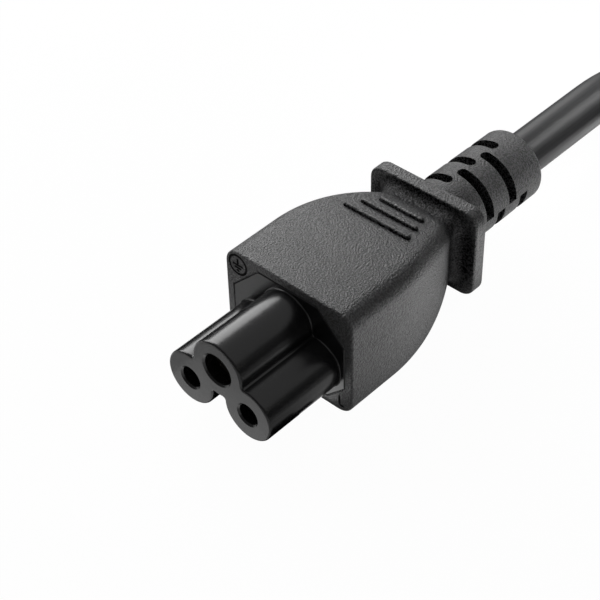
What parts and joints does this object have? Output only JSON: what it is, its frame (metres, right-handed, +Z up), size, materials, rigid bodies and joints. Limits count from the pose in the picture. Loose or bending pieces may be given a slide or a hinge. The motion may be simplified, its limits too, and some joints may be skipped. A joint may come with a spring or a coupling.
{
  "type": "cloverleaf power cord",
  "caption": "Mains lead with a cloverleaf appliance connector, grip body, slotted strain relief, round cord wound in a tied coil and an angled earthed plug.",
  "frame": {"origin": "on the surface that the lead lies on, under the middle of the connector's length and width", "axes": "+Y from the cloverleaf nose towards the cord, +Z up through the earth pole, +X on the line pole's side"},
  "size_m": [0.1066, 0.1541, 0.045],
  "materials": {
    "connector_pvc": "fine spark-textured black PVC",
    "insert_plastic": "glossy black moulded plastic",
    "contact_metal": "tinned brass, rolled",
    "brown_insulation": "satin PVC insulation",
    "blue_insulation": "satin PVC insulation",
    "earth_insulation": "satin PVC insulation, striped",
    "cord_pvc": "satin black PVC sheath",
    "tie_strap": "woven strap",
    "plug_pvc": "fine textured black PVC",
    "bridge_plastic": "moulded plastic",
    "pin_metal": "nickel-plated brass"
  },
  "bodies": {
    "root": {"connector_body": "connector_pvc", "contact_insert": "insert_plastic", "line_contact": "contact_metal", "neutral_contact": "contact_metal", "earth_contact": "contact_metal", "line_core": "brown_insulation", "neutral_core": "blue_insulation", "earth_core": "earth_insulation", "cord_lead": "cord_pvc", "cord_coil": "cord_pvc", "cord_tail": "cord_pvc", "coil_tie": "tie_strap", "plug_body": "plug_pvc", "plug_bridge": "bridge_plastic", "plug_line_pin": "pin_metal", "plug_neutral_pin": "pin_metal", "plug_earth_strip": "pin_metal", "plug_earth_socket": "pin_metal", "plug_line_core": "brown_insulation", "plug_neutral_core": "blue_insulation", "plug_earth_core": "earth_insulation"}
  },
  "joints": []
}
